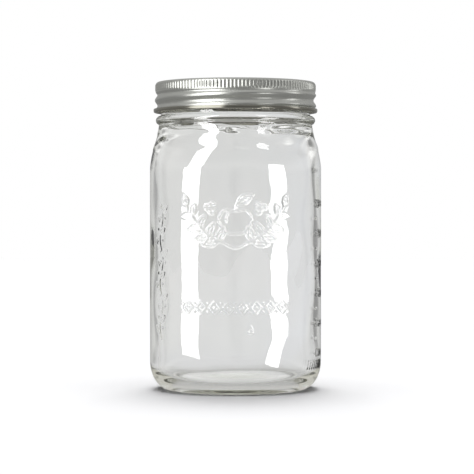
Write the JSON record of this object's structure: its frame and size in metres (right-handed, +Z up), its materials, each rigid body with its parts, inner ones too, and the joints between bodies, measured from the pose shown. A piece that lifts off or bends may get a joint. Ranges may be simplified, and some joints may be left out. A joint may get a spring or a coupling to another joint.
{
  "type": "preserving jar",
  "caption": "Clear glass wide-mouth preserving jar with a threaded neck, closed by a flat tinplate lid disc with a sealing ring and a gripping-edged screw band that turns off.",
  "frame": {"origin": "centre of the foot, on the surface that the jar stands on", "axes": "+Z up along the jar's axis; -Y is the decorated front; the thread is right-handed about +Z"},
  "size_m": [0.096, 0.096, 0.172],
  "materials": {
    "glass": "clear pressed glass, very slightly green where it is thick",
    "lid_plate": "lacquered tinplate, satin",
    "sealing_compound": "moulded sealing compound, matt",
    "tinplate": "bright tinplate, satin"
  },
  "bodies": {
    "jar": {"glass_jar": "glass"},
    "lid": {"lid_disc": "lid_plate", "sealing_ring": "sealing_compound"},
    "band": {"screw_band": "tinplate"}
  },
  "joints": [
    {"name": "lid_lift", "type": "slide", "parent": "jar", "child": "lid", "axis": [0, 0, 1], "range_m": [0, 0.0286]},
    {"name": "band_turn", "type": "hinge", "parent": "lid", "child": "band", "pos_m": [0, 0, 0.163], "axis": [0, 0, 1], "range_deg": [0, 1620]}
  ],
  "couplings": [
    {"joint": "lid_lift", "follows": "band_turn", "m_per_rad": 0.0010106}
  ]
}
